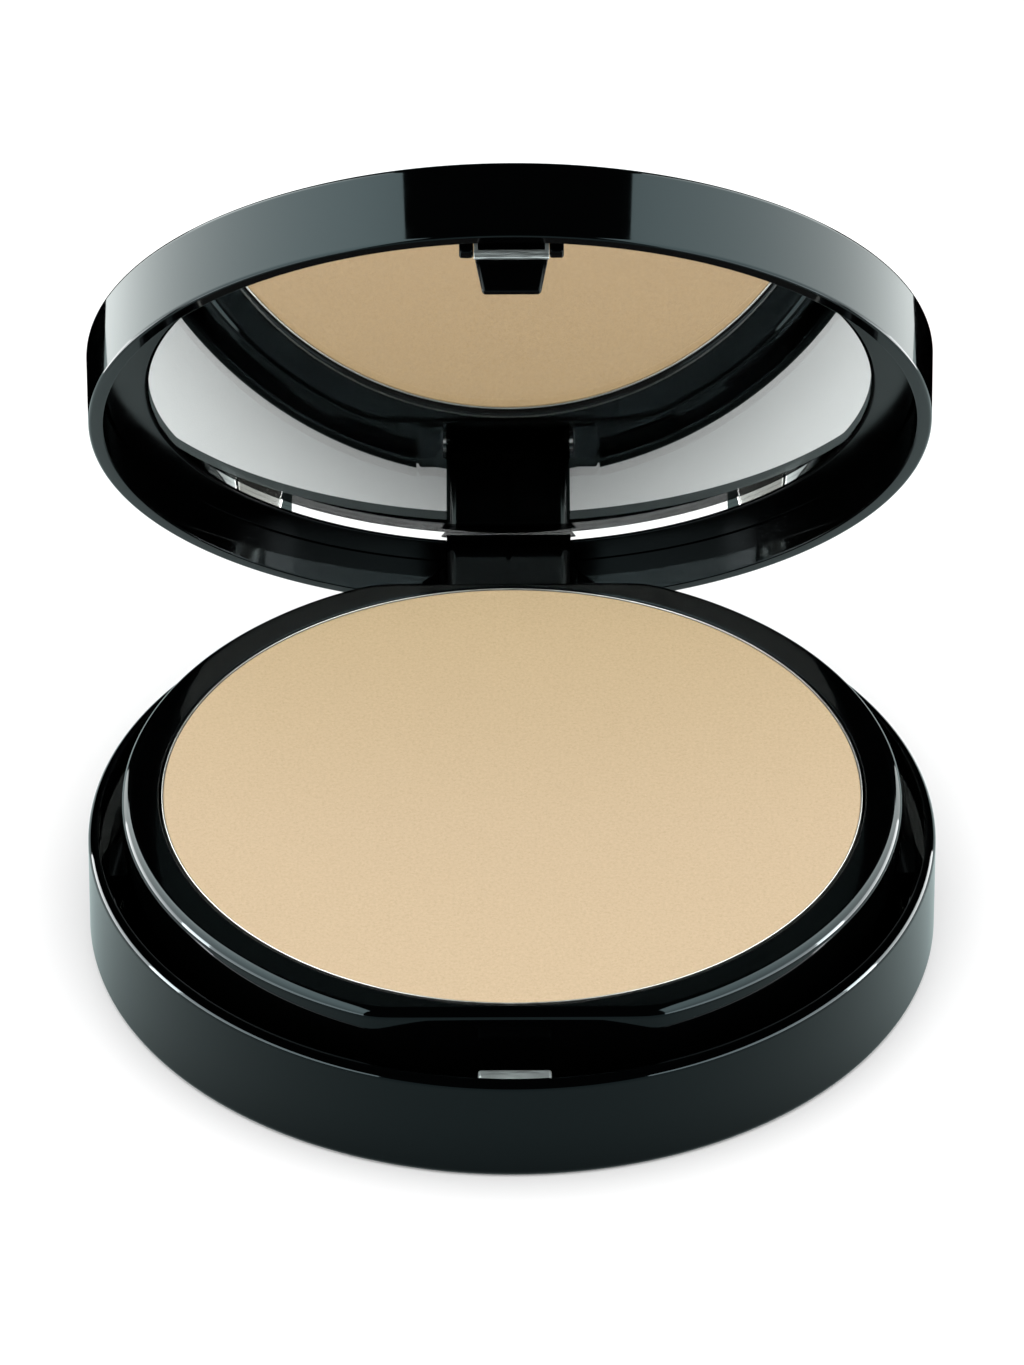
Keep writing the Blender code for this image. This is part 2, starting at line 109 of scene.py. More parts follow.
# Where the arm, its tab and the powder's part towards the hinge are, in metres, for the painted sheen on the
# arm and the painted shade on the tab and the powder
ARM_MASK_HALF, ARM_MASK_TOP = 0.00546, 0.0125
TAB_MASK_DEPTH = 0.04024  # from the origin, along the open lid's normal
POWDER_SHADE_Y = (-0.005, 0.029)

# Looks
PLASTIC = (0.0006, 0.0007, 0.0008)
# the third tint is a painted sheen: a stronger reflection for the hinge arm alone
CASE_TINT, FRAME_TINT, ARM_PAINTED_SHEEN = (0.205, 0.27, 0.29), (0.045, 0.06, 0.065), (0.13, 0.16, 0.16)
# the floor's second and third colours are painted shade: darker and bluer where the plastic reflects the
# floor, nearly black after two reflections
FLOOR_WHITE, FLOOR_REFLECTION_SHADE, FLOOR_SECOND_REFLECTION_SHADE = (0.93, 0.93, 0.93), (0.56, 0.68, 0.68), (0.06, 0.08, 0.08)
TRIM_METAL, PAN_METAL, PIN_METAL = (0.42, 0.45, 0.45), (0.42, 0.41, 0.39), (0.55, 0.55, 0.56)
MIXED_FACTOR, MIXED_A, MIXED_B, MIXED_COLOUR = 0, 6, 7, 2  # sockets of a Mix node set to RGBA
WHITE, BLACK = (1.0, 1.0, 1.0), (0.0, 0.0, 0.0)

# Side cards: where they stand, from where to where along Y, and how high
TALL_X, TALL_Y, TALL_COLOUR = 95.0, (-160, 140), (0.94, 1.0, 0.985)
TALL_TOP, TALL_SCALE, TALL_REFERENCE = {-1: 246, 1: 217}, {-1: 1.0, 1: 0.86}, 236
LOW_X, LOW_Y, LOW_TOP, LOW_STRENGTH = 93.0, (-160, 60), 30, 12.0
SPARK_X, SPARK_Y, SPARK_TOP, SPARK_STRENGTH = 92.0, (-22, -6), 28, 42.0
FLAG_X, FLAG_Y, FLAG_TOP = (30.0, 75.0), 75, 60
CARD_FOOT_Z = 0.2
FLOOR_HALF_M = 3.0

# Camera
CAMERA_DISTANCE_Y, CAMERA_HEIGHT = 856.08, 641.94
CAMERA_PITCH, CAMERA_YAW = math.radians(35.7905), math.radians(0.4135)
CAMERA_LENS, CAMERA_SENSOR = 330.34813, 36.0


# Mesh helpers -----------------------------------------------------------------------------------------------

def link(name, mesh):
    obj = bpy.data.objects.new(name, mesh)
    bpy.context.scene.collection.objects.link(obj)
    return obj


def solid(name, vertices, faces):
    """A closed body whose faces all look outward."""
    mesh = bpy.data.meshes.new(name)
    mesh.from_pydata(vertices, [], faces)
    work = bmesh.new()
    work.from_mesh(mesh)
    bmesh.ops.recalc_face_normals(work, faces=work.faces)
    work.to_mesh(mesh)
    work.free()
    return link(name, mesh)


def arc(centre_r, centre_z, radius, start, end, count=8):
    """Points (r, z) on an arc, angles in degrees from +r towards +z."""
    points = []
    for i in range(count + 1):
        angle = math.radians(start + (end - start) * i / count)
        points.append((centre_r + radius * math.cos(angle), centre_z + radius * math.sin(angle)))
    return points


def turned(name, profile, closed=False, outline=None):
    """A turned body from (r, z) points. outline(r, z, angle) bends a ring away from a circle."""
    vertices = []
    rings = []
    for r, z in profile:
        if r < 1e-6:
            rings.append([len(vertices)] * STEPS)
            vertices.append((0.0, 0.0, z * MM))
            continue
        ring = []
        for i in range(STEPS):
            angle = 2 * math.pi * i / STEPS
            radius = outline(r, z, angle) if outline else r
            ring.append(len(vertices))
            vertices.append((radius * math.cos(angle) * MM, radius * math.sin(angle) * MM, z * MM))
        rings.append(ring)
    faces = []
    pairs = list(zip(rings, rings[1:] + rings[:1])) if closed else list(zip(rings, rings[1:]))
    for upper, lower in pairs:
        for i in range(STEPS):
            j = (i + 1) % STEPS
            corners = [upper[i], lower[i], lower[j], upper[j]]
            face = [c for k, c in enumerate(corners) if c not in corners[:k]]
            if len(face) > 2:
                faces.append(face)
    return solid(name, vertices, faces)


def box(name, low, high):
    """A box between two corners in mm."""
    corners = []
    for z in (low[2], high[2]):
        for x, y in ((low[0], low[1]), (high[0], low[1]), (high[0], high[1]), (low[0], high[1])):
            corners.append((x * MM, y * MM, z * MM))
    faces = [(3, 2, 1, 0), (4, 5, 6, 7), (0, 1, 5, 4), (1, 2, 6, 5), (2, 3, 7, 6), (3, 0, 4, 7)]
    return solid(name, corners, faces)


def prism(name, outline, low_y, high_y):
    """A body from an (x, z) outline in mm, extruded along Y."""
    count = len(outline)
    vertices = [(x * MM, low_y * MM, z * MM) for x, z in outline]
    vertices += [(x * MM, high_y * MM, z * MM) for x, z in outline]
    faces = [tuple(range(count)), tuple(range(2 * count - 1, count - 1, -1))]
    faces += [((i + 1) % count, i, i + count, (i + 1) % count + count) for i in range(count)]
    return solid(name, vertices, faces)


def rod(name, radius, half_length, y, z, sides=64):
    """A cylinder along X, centred on x = 0, in mm."""
    outline = [(radius * math.cos(2 * math.pi * i / sides), radius * math.sin(2 * math.pi * i / sides))
               for i in range(sides)]
    vertices = [(-half_length * MM, (y + a) * MM, (z + b) * MM) for a, b in outline]
    vertices += [(half_length * MM, (y + a) * MM, (z + b) * MM) for a, b in outline]
    faces = [tuple(range(sides)), tuple(range(2 * sides - 1, sides - 1, -1))]
    faces += [((i + 1) % sides, i, i + sides, (i + 1) % sides + sides) for i in range(sides)]
    return solid(name, vertices, faces)


def rounded(obj, width, segments=4):
    """Rounds every edge sharper than 40 degrees."""
    modifier = obj.modifiers.new("round", "BEVEL")
    modifier.width = width * MM
    modifier.segments = segments
    modifier.limit_method = "ANGLE"
    modifier.angle_limit = math.radians(40)
    modifier.harden_normals = False
    return settle(obj)


def settle(obj):
    """Turns an object's modifiers into plain mesh."""
    bpy.context.view_layer.update()
    shape = obj.evaluated_get(bpy.context.evaluated_depsgraph_get())
    mesh = bpy.data.meshes.new_from_object(shape)
    obj.modifiers.clear()
    obj.data = mesh
    return obj


def combine(obj, tool, operation):
    """Joins or cuts with another object, which is then removed."""
    modifier = obj.modifiers.new("combine", "BOOLEAN")
    modifier.object = tool
    modifier.operation = operation
    modifier.solver = "EXACT"
    settle(obj)
    bpy.data.objects.remove(tool, do_unlink=True)
    return obj


def finish_piece(obj, node, body, material):
    """Shades a piece, gives it its material, and puts it in a CAD node's place."""
    for face in obj.data.polygons:
        face.use_smooth = len(face.vertices) < MANY_SIDED
    obj.data.set_sharp_from_angle(angle=math.radians(SHARP_DEG))
    weighted = obj.modifiers.new("normals", "WEIGHTED_NORMAL")
    weighted.keep_sharp = True
    weighted.weight = 90
    obj.data.materials.clear()
    obj.data.materials.append(material)
    if body == "lid":
        obj.data.transform(TO_REST)
    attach(obj, body)
    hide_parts(node)
    return obj


# Shader helpers ---------------------------------------------------------------------------------------------

def new_material(name, colour, roughness, metallic=0.0):
    material = bpy.data.materials.new(name)
    material.use_nodes = True
    shader = material.node_tree.nodes["Principled BSDF"]
    shader.inputs["Base Color"].default_value = (*colour, 1.0)
    shader.inputs["Roughness"].default_value = roughness
    shader.inputs["Metallic"].default_value = metallic
    shader.inputs["IOR"].default_value = 1.5
    return material, material.node_tree, shader


def noise(tree, scale, detail=3.0, stretch=(1, 1, 1), roughness=0.5):
    """Noise in the piece's own coordinates, with its scale in features per metre."""
    coords = tree.nodes.new("ShaderNodeTexCoord")
    mapping = tree.nodes.new("ShaderNodeMapping")
    mapping.inputs["Scale"].default_value = stretch
    texture = tree.nodes.new("ShaderNodeTexNoise")
    texture.inputs["Scale"].default_value = scale
    texture.inputs["Detail"].default_value = detail
    texture.inputs["Roughness"].default_value = roughness
    tree.links.new(coords.outputs["Object"], mapping.inputs["Vector"])
    tree.links.new(mapping.outputs["Vector"], texture.inputs["Vector"])
    return texture.outputs["Fac"]


def spread(tree, value, low, high, from_low=0.3, from_high=0.7):
    """Maps a range of a value onto another range."""
    remap = tree.nodes.new("ShaderNodeMapRange")
    remap.inputs["From Min"].default_value = from_low
    remap.inputs["From Max"].default_value = from_high
    remap.inputs["To Min"].default_value = low
    remap.inputs["To Max"].default_value = high
    tree.links.new(value, remap.inputs["Value"])
    return remap.outputs["Result"]


def bump(tree, shader, value, strength, distance):
    node = tree.nodes.new("ShaderNodeBump")
    node.inputs["Strength"].default_value = strength
    node.inputs["Distance"].default_value = distance
    tree.links.new(value, node.inputs["Height"])
    tree.links.new(node.outputs["Normal"], shader.inputs["Normal"])


def colour_ramp(tree, value, stops):
    ramp = tree.nodes.new("ShaderNodeValToRGB")
    elements = ramp.color_ramp.elements
    while len(elements) < len(stops):
        elements.new(0.5)
    for element, (position, colour) in zip(elements, stops):
        element.position = position
        element.color = (*colour, 1.0)
    tree.links.new(value, ramp.inputs["Fac"])
    return ramp.outputs["Color"]


def maths(tree, operation, first, second, clamp=False):
    """A maths node; second is a socket or a number."""
    node = tree.nodes.new("ShaderNodeMath")
    node.operation = operation
    node.use_clamp = clamp
    tree.links.new(first, node.inputs[0])
    if isinstance(second, (int, float)):
        node.inputs[1].default_value = second
    else:
        tree.links.new(second, node.inputs[1])
    return node.outputs["Value"]


def mixed(tree, factor, first, second, blend="MIX"):
    """A colour mix; first is a socket and second a colour."""
    node = tree.nodes.new("ShaderNodeMix")
    node.data_type = "RGBA"
    node.blend_type = blend
    tree.links.new(factor, node.inputs[MIXED_FACTOR])
    tree.links.new(first, node.inputs[MIXED_A])
    node.inputs[MIXED_B].default_value = (*second, 1.0)
    return node.outputs[MIXED_COLOUR]


def own_coordinates(tree):
    """A piece's own coordinates, as a vector and as its X, Y and Z."""
    coords = tree.nodes.new("ShaderNodeTexCoord")
    split = tree.nodes.new("ShaderNodeSeparateXYZ")
    tree.links.new(coords.outputs["Object"], split.inputs["Vector"])
    return coords.outputs["Object"], split.outputs


def ray(tree, question):
    return tree.nodes.new("ShaderNodeLightPath").outputs[question]


def only_mirrored(tree):
    """1 for a ray that has just been reflected, 0 for any other, also one that has passed through glass."""
    return maths(tree, "SUBTRACT", ray(tree, "Is Glossy Ray"), ray(tree, "Is Transmission Ray"), clamp=True)


def seen_again(tree):
    """1 for a ray that has been reflected twice or more, 0 for any other."""
    return maths(tree, "GREATER_THAN", ray(tree, "Glossy Depth"), 1.5)


# Materials --------------------------------------------------------------------------------------------------

def gloss_black(name, low, high, wave, tint):
    """Moulded black plastic: polished, with faint flow waviness and slightly uneven polish."""
    material, tree, shader = new_material(name, PLASTIC, low)
    shader.inputs["Specular Tint"].default_value = (*tint, 1.0)
    tree.links.new(spread(tree, noise(tree, 260, 4), low, high), shader.inputs["Roughness"])
    bump(tree, shader, noise(tree, 90, 1.0), wave, 0.00001)
    return material


def arm_sheen_and_tab_shade(tree):
    """A mask of the hinge arm and one of the tab at its root, in the coordinates of the open lid, for the
    arm's painted sheen and the tab's painted shade.
    """
    position, axes = own_coordinates(tree)
    middle = maths(tree, "COMPARE", axes["X"], 0.0)
    middle.node.inputs[2].default_value = ARM_MASK_HALF  # how far from 0 still counts as 0
    arm = maths(tree, "MULTIPLY", middle, maths(tree, "LESS_THAN", axes["Z"], ARM_MASK_TOP))
    depth = tree.nodes.new("ShaderNodeVectorMath")
    depth.operation = "DOT_PRODUCT"
    tree.links.new(position, depth.inputs[0])
    depth.inputs[1].default_value = (0.0, math.sin(OPENING), math.cos(OPENING))
    deep = maths(tree, "GREATER_THAN", depth.outputs["Value"], TAB_MASK_DEPTH)
    return arm, maths(tree, "MULTIPLY", arm, deep)


def frame_plastic():
    """The mirror frame's satin black, with a painted sheen that makes the arm reflect a little more and a
    painted shade that takes the tab's reflection away entirely.
    """
    material = gloss_black("frame_black", 0.12, 0.20, 0.03, FRAME_TINT)
    tree = material.node_tree
    shader = tree.nodes["Principled BSDF"]
    arm, tab = arm_sheen_and_tab_shade(tree)
    # painted sheen: the arm's reflection is painted stronger than the rest of the frame, chosen by position
    tint = colour_ramp(tree, arm, [(0.0, FRAME_TINT), (1.0, ARM_PAINTED_SHEEN)])
    tree.links.new(tint, shader.inputs["Specular Tint"])
    # painted shade: the tab's reflection is switched off by its position, so it shows black
    tree.links.new(spread(tree, tab, 0.5, 0.0), shader.inputs["Specular IOR Level"])
    return material


def powder_material():
    """Pressed powder: fine grain over a faint mottling, a painted shade that makes it a little darker towards
    the hinge, and painted tones in reflections.
    """
    material, tree, shader = new_material("powder_beige", (0.70, 0.53, 0.34), 0.9)
    shader.inputs["Specular IOR Level"].default_value = 0.15
    shader.inputs["Sheen Weight"].default_value = 0.05
    mottling = [(0.30, (0.586, 0.449, 0.292)), (0.5, (0.628, 0.483, 0.318)), (0.72, (0.670, 0.518, 0.346))]
    tone = colour_ramp(tree, noise(tree, 3300, 4, roughness=0.7), mottling)
    # painted shade: darker and warmer towards the hinge, where the open lid shades the powder
    _, axes = own_coordinates(tree)
    shade_under_lid = spread(tree, axes["Y"], 0.0, 1.0, *POWDER_SHADE_Y)
    tone = mixed(tree, shade_under_lid, tone, (0.965, 0.955, 0.88), "MULTIPLY")
    speck = spread(tree, noise(tree, 5200, 3, roughness=0.8), 0.0, 0.85, 0.5, 0.72)
    tone = mixed(tree, speck, tone, (0.86, 0.83, 0.78), "MULTIPLY")
    # painted reflection: the powder is painted warmer where it is seen through the mirror glass
    tone = mixed(tree, ray(tree, "Is Transmission Ray"), tone, (1.11, 0.99, 0.87), "MULTIPLY")
    # painted shade: the powder is painted dark grey where it is seen after two or more reflections
    tone = mixed(tree, seen_again(tree), tone, (0.35, 0.35, 0.34))
    # painted shade: the powder is painted nearly black where the black plastic reflects it directly
    tone = mixed(tree, only_mirrored(tree), tone, (0.03, 0.03, 0.03))
    tree.links.new(tone, shader.inputs["Base Color"])
    bump(tree, shader, noise(tree, 5000, 5, roughness=0.7), 0.45, 0.00006)
    return material


def metal(name, colour, low, high, stretch, scale, depth):
    """Brushed or drawn metal: fine lines along one direction in roughness and bump."""
    material, tree, shader = new_material(name, colour, low, metallic=1.0)
    lines = noise(tree, scale, 4, stretch)
    tree.links.new(spread(tree, lines, low, high), shader.inputs["Roughness"])
    bump(tree, shader, lines, 0.4, depth)
    return material


def trim_metal():
    """The catch's bright metal, nearly dark where the black plastic mirrors it."""
    material = metal("bright_trim", TRIM_METAL, 0.30, 0.50, (0.12, 1, 1), 6000, 0.00008)
    tree = material.node_tree
    tone = colour_ramp(tree, only_mirrored(tree), [(0.0, TRIM_METAL), (1.0, (0.02, 0.02, 0.02))])
    tree.links.new(tone, tree.nodes["Principled BSDF"].inputs["Base Color"])
    return material


def glass_material():
    material, _, shader = new_material("mirror_glass", (0.985, 0.995, 0.99), 0.0)
    shader.inputs["Transmission Weight"].default_value = 1.0
    return material


def silvering():
    """The mirror's silver coat: smooth, with a barely uneven polish."""
    material, tree, shader = new_material("mirror_silver", (0.93, 0.94, 0.94), 0.0, metallic=1.0)
    tree.links.new(spread(tree, noise(tree, 100, 4), 0.0, 0.0005), shader.inputs["Roughness"])
    return material


def plain_detail(name, colour, low, high, scale):
    """A matt sheet material, such as tape, glue or a blank label, with fine unevenness."""
    material, tree, shader = new_material(name, colour, low)
    grain = noise(tree, scale, 4)
    tree.links.new(spread(tree, grain, low, high), shader.inputs["Roughness"])
    bump(tree, shader, grain, 0.3, 0.00002)
    return material


# Base -------------------------------------------------------------------------------------------------------

def make_base_shell(material):
    wall_r = LIP_INNER_R
    profile = [(0, BASE_FLOOR_Z), (wall_r - FLOOR_ROUND, BASE_FLOOR_Z)]
    profile += arc(wall_r - FLOOR_ROUND, BASE_FLOOR_Z + FLOOR_ROUND, FLOOR_ROUND, -90, 0, 4)
    profile += [(wall_r, GROOVE_ENDS_Z[0]), (GROOVE_R, GROOVE_WALLS_Z[0])]
    profile += [(GROOVE_R, GROOVE_WALLS_Z[1]), (wall_r, GROOVE_ENDS_Z[1])]
    profile += [(wall_r, LIP_Z - LIP_INNER_ROUND)]
    profile += arc(wall_r + LIP_INNER_ROUND, LIP_Z - LIP_INNER_ROUND, LIP_INNER_ROUND, 180, 90, 4)
    profile += arc(CASE_R - LIP_ROUND, LIP_Z - LIP_ROUND, LIP_ROUND, 90, 0, 14)
    profile += arc(CASE_R - FOOT_ROUND, FOOT_ROUND, FOOT_ROUND, 0, -90, 10)
    profile += [(LABEL_R, 0), (LABEL_R, LABEL_DEPTH), (0, LABEL_DEPTH)]
    shell = turned("base_shell_fine", profile)
    notch = box("notch", (-NOTCH_HALF, NOTCH_Y, NOTCH_Z), (NOTCH_HALF, CASE_R + EPS, LIP_Z + EPS))
    combine(shell, notch, "DIFFERENCE")
    for side in (-1, 1):
        low_x, high_x = sorted((side * EAR_X[0], side * EAR_X[1]))
        ear = box("ear", (low_x, EAR_Y[0], EAR_Z[0]), (high_x, EAR_Y[1], EAR_Z[1]))
        combine(shell, rounded(ear, EAR_ROUND), "UNION")
    combine(shell, rod("bore", EAR_BORE_R, EAR_BORE_HALF, HINGE_Y, HINGE_Z), "DIFFERENCE")
    block = box("block", (-BLOCK_HALF, -LIP_INNER_R - EPS, BLOCK_Z[0]), (BLOCK_HALF, BLOCK_Y, BLOCK_Z[1]))
    combine(shell, block, "UNION")
    return finish_piece(shell, "base_shell", "base", material)


def platform_outline(r, z, angle):
    """The platform's outer rings follow a circle clipped by two flats, with soft corners."""
    if r < POCKET_R + 1:
        return r
    flat = (PLATFORM_FLAT_Y - (PLATFORM_R - r)) / max(abs(math.sin(angle)), 1e-6)
    nearer = min(r, flat)
    past_circle = math.exp(-(r - nearer) / CORNER_SOFTNESS)
    past_flat = math.exp(-min(flat - nearer, SOFT_LIMIT) / CORNER_SOFTNESS)
    return nearer - CORNER_SOFTNESS * math.log(past_circle + past_flat)


def make_platform(material):
    profile = [(0, POCKET_Z), (POCKET_R - POCKET_FILLET, POCKET_Z)]
    profile += arc(POCKET_R - POCKET_FILLET, POCKET_Z + POCKET_FILLET, POCKET_FILLET, -90, 0, 4)
    profile += [(POCKET_R, PLATFORM_Z - POCKET_LIP)]
    profile += arc(POCKET_R + POCKET_LIP, PLATFORM_Z - POCKET_LIP, POCKET_LIP, 180, 90, 4)
    profile += arc(PLATFORM_R - PLATFORM_ROUND, PLATFORM_Z - PLATFORM_ROUND, PLATFORM_ROUND, 90, 0, 14)
    profile += [(PLATFORM_R, PLATFORM_SKIRT_Z), (PLATFORM_SKIRT_R, PLATFORM_SKIRT_Z)]
    profile += [(PLATFORM_SKIRT_R, PLATFORM_UNDER_Z), (0, PLATFORM_UNDER_Z)]
    platform = turned("pan_platform_fine", profile, outline=platform_outline)
    for degrees in range(0, 360, LUG_STEP_DEG):
        lug = box("lug", (LUG_X[0], -LUG_HALF, LUG_Z[0]), (LUG_X[1], LUG_HALF, LUG_Z[1]))
        lug.data.transform(Matrix.Rotation(math.radians(degrees), 4, "Z"))
        combine(platform, lug, "UNION")
    return finish_piece(platform, "pan_platform", "base", material)


def make_pan(material):
    inner_r = PAN_R - PAN_T
    profile = [(0, PAN_BOTTOM_Z + PAN_T), (inner_r, PAN_BOTTOM_Z + PAN_T), (inner_r, PAN_TOP_Z - PAN_EDGE)]
    profile += [(inner_r + PAN_EDGE, PAN_TOP_Z)]
    profile += arc(PAN_R - PAN_RIM_ROUND, PAN_TOP_Z - PAN_RIM_ROUND, PAN_RIM_ROUND, 90, 0, 4)
    profile += arc(PAN_R - PAN_FOOT_ROUND, PAN_BOTTOM_Z + PAN_FOOT_ROUND, PAN_FOOT_ROUND, 0, -90, 5)
    profile += [(0, PAN_BOTTOM_Z)]
    return finish_piece(turned("powder_pan_fine", profile), "powder_pan", "base", material)


def make_powder(material):
    profile = [(0, POWDER_Z), (POWDER_FLAT_R, POWDER_Z), (POWDER_R - POWDER_BEVEL, POWDER_Z)]
    profile += arc(POWDER_R - POWDER_ROUND, POWDER_Z - POWDER_ROUND, POWDER_ROUND, 90, 0, 4)
    profile += [(POWDER_R, POWDER_BOTTOM_Z), (0, POWDER_BOTTOM_Z)]
    powder = turned("pressed_powder_fine", profile)
    return finish_piece(powder, "pressed_powder", "base", material)


def make_strike_plate(material):
    low = (-STRIKE_HALF, STRIKE_Y[0], STRIKE_Z[0])
    high = (STRIKE_HALF, STRIKE_Y[1], STRIKE_Z[1])
    plate = rounded(box("strike_plate_fine", low, high), STRIKE_ROUND, 5)
    return finish_piece(plate, "strike_plate", "base", material)


def make_pin(material):
    pin = rounded(rod("hinge_pin_fine", PIN_R, PIN_HALF, HINGE_Y, HINGE_Z), PIN_ROUND, 3)
    return finish_piece(pin, "hinge_pin", "base", material)


# Lid --------------------------------------------------------------------------------------------------------

def make_lid_shell(material):
    plate_low = LID_TOP_Z - LID_PLATE_T
    profile = [(0, LID_TOP_Z)]
    profile += arc(LID_TOP_R - LID_TOP_ROUND, LID_TOP_Z - LID_TOP_ROUND, LID_TOP_ROUND, 90, 0, 10)
    profile += arc(LID_RIM_R - LID_RIM_ROUND, LID_RIM_Z + LID_RIM_ROUND, LID_RIM_ROUND, 0, -90, 6)
    profile += arc(LID_INNER_R + LID_INNER_ROUND, LID_RIM_Z + LID_INNER_ROUND, LID_INNER_ROUND, -90, -180, 4)
    profile += [(LID_INNER_R, plate_low), (0, plate_low)]
    return finish_piece(turned("lid_shell_fine", profile), "lid_shell", "lid", material)


def make_frame_ring():
    outer, inner = FRAME_OUTER_ROUND, FRAME_INNER_ROUND
    profile = [(FRAME_R, FRAME_BACK_Z)] + arc(FRAME_R - outer, FRAME_FACE_Z + outer, outer, 0, -90, 3)
    profile += arc(FRAME_INNER_R + inner, FRAME_FACE_Z + inner, inner, -90, -180, 5)
    profile += [(FRAME_INNER_R, FRAME_BACK_Z)]
    return turned("mirror_frame_fine", profile, closed=True)


def make_frame(material):
    frame_ring = make_frame_ring()
    arm = box("arm", (-ARM_HALF, ARM_Y[0], HINGE_Z), (ARM_HALF, ARM_Y[1], FRAME_FACE_Z + ARM_LAP))
    arm = rounded(arm, ARM_ROUND, 8)
    combine(frame_ring, box("tab", (-ARM_HALF, TAB_Y[0], TAB_Z[0]), (ARM_HALF, TAB_Y[1], TAB_Z[1])), "UNION")
    combine(frame_ring, arm, "UNION")
    combine(frame_ring, rod("knuckle", KNUCKLE_R, ARM_HALF, HINGE_Y, HINGE_Z), "UNION")
    groove = box("groove", (-SLOT_HALF, ARM_Y[0] - EPS, SLOT_Z[0]), (SLOT_HALF, SLOT_Y, SLOT_Z[1]))
    combine(frame_ring, groove, "DIFFERENCE")
    combine(frame_ring, rod("bore", ARM_BORE_R, ARM_HALF + EPS, HINGE_Y, HINGE_Z), "DIFFERENCE")
    for side in (-1, 1):
        low_x, high_x = sorted((side * CHEEK_X[0], side * CHEEK_X[1]))
        cheek = box("cheek", (low_x, CHEEK_Y[0], CHEEK_Z[0]), (high_x, CHEEK_Y[1], CHEEK_Z[1]))
        combine(frame_ring, rounded(cheek, CHEEK_ROUND), "UNION")
    return finish_piece(frame_ring, "mirror_frame", "lid", material)


def make_glass(material):
    top = GLASS_FACE_Z + GLASS_T
    profile = [(0, top), (GLASS_R, top), (GLASS_R, GLASS_FACE_Z + GLASS_CHAMFER)]
    profile += [(GLASS_R - GLASS_CHAMFER, GLASS_FACE_Z), (0, GLASS_FACE_Z)]
    return finish_piece(turned("mirror_glass_fine", profile), "mirror_glass", "lid", material)


def make_silver(material):
    low = GLASS_FACE_Z + GLASS_T + STACK_GAP
    profile = [(0, low + SILVER_T), (SILVER_R, low + SILVER_T), (SILVER_R, low), (0, low)]
    silver = turned("mirror_silver_fine", profile)
    return finish_piece(silver, "mirror_silver", "lid", material)


def make_hook(material):
    outline = [(-HOOK_TIP_HALF, HOOK_TIP_Z), (HOOK_TIP_HALF, HOOK_TIP_Z), (HOOK_HALF, HOOK_TAPER_Z)]
    outline += [(HOOK_HALF, HOOK_TOP_Z), (-HOOK_HALF, HOOK_TOP_Z), (-HOOK_HALF, HOOK_TAPER_Z)]
    hook = rounded(prism("lid_hook_fine", outline, *HOOK_Y), HOOK_ROUND, 6)
    return finish_piece(hook, "lid_hook", "lid", material)


def make_trim(material):
    low = (-TRIM_HALF, TRIM_Y[0], TRIM_Z[0])
    high = (TRIM_HALF, TRIM_Y[1], TRIM_Z[1])
    trim = rounded(box("hook_trim_fine", low, high), TRIM_ROUND, 3)
    low = (-RECESS_HALF, TRIM_Y[0] - EPS, RECESS_Z[0])
    high = (RECESS_HALF, RECESS_BACK_Y, RECESS_Z[1])
    recess = box("recess", low, high)
    combine(trim, recess, "DIFFERENCE")
    return finish_piece(trim, "hook_trim", "lid", material)


# Set --------------------------------------------------------------------------------------------------------

def make_floor():
    far = FLOOR_HALF_M
    mesh = bpy.data.meshes.new("floor")
    mesh.from_pydata([(-far, -far, 0), (far, -far, 0), (far, far, 0), (-far, far, 0)], [], [(0, 1, 2, 3)])
    floor = link("floor", mesh)
    material, tree, shader = new_material("floor_white", FLOOR_WHITE, 1.0)
    shader.inputs["Specular IOR Level"].default_value = 0.0
    # painted shade: the floor is painted darker and bluer in direct reflections, not through the mirror
    # glass, and nearly black after two or more
    tone = colour_ramp(tree, only_mirrored(tree), [(0.0, FLOOR_WHITE), (1.0, FLOOR_REFLECTION_SHADE)])
    tone = mixed(tree, seen_again(tree), tone, FLOOR_SECOND_REFLECTION_SHADE)
    tree.links.new(tone, shader.inputs["Base Color"])
    mesh.materials.append(material)
    return floor


def light_only(light, receivers):
    """Limits a light or a glowing card to some pieces."""
    lit = bpy.data.collections.new(light.name + "_receivers")
    for piece in receivers:
        lit.objects.link(piece)
    light.light_linking.receiver_collection = lit


def graded(tree, stops):
    """A glow strength that changes with height, through (height fraction, strength) stops."""
    coords = tree.nodes.new("ShaderNodeTexCoord")
    split = tree.nodes.new("ShaderNodeSeparateXYZ")
    tree.links.new(coords.outputs["Generated"], split.inputs["Vector"])
    curve = tree.nodes.new("ShaderNodeFloatCurve")
    points = curve.mapping.curves[0].points
    while len(points) < len(stops):
        points.new(0.5, 0.5)
    peak = max(strength for _, strength in stops)
    for point, (position, strength) in zip(points, stops):
        point.location = (position, strength / peak)
    curve.mapping.update()
    tree.links.new(split.outputs["Z"], curve.inputs["Value"])
    return maths(tree, "MULTIPLY", curve.outputs["Value"], peak)


def card_material(name, colour, stops):
    material = bpy.data.materials.new(name)
    material.use_nodes = True
    tree = material.node_tree
    tree.nodes.clear()
    output = tree.nodes.new("ShaderNodeOutputMaterial")
    emission = tree.nodes.new("ShaderNodeEmission")
    emission.inputs["Color"].default_value = (*colour, 1.0)
    tree.links.new(emission.outputs["Emission"], output.inputs["Surface"])
    if len(stops) == 1:
        emission.inputs["Strength"].default_value = stops[0][1]
    else:
        tree.links.new(graded(tree, stops), emission.inputs["Strength"])
    return material


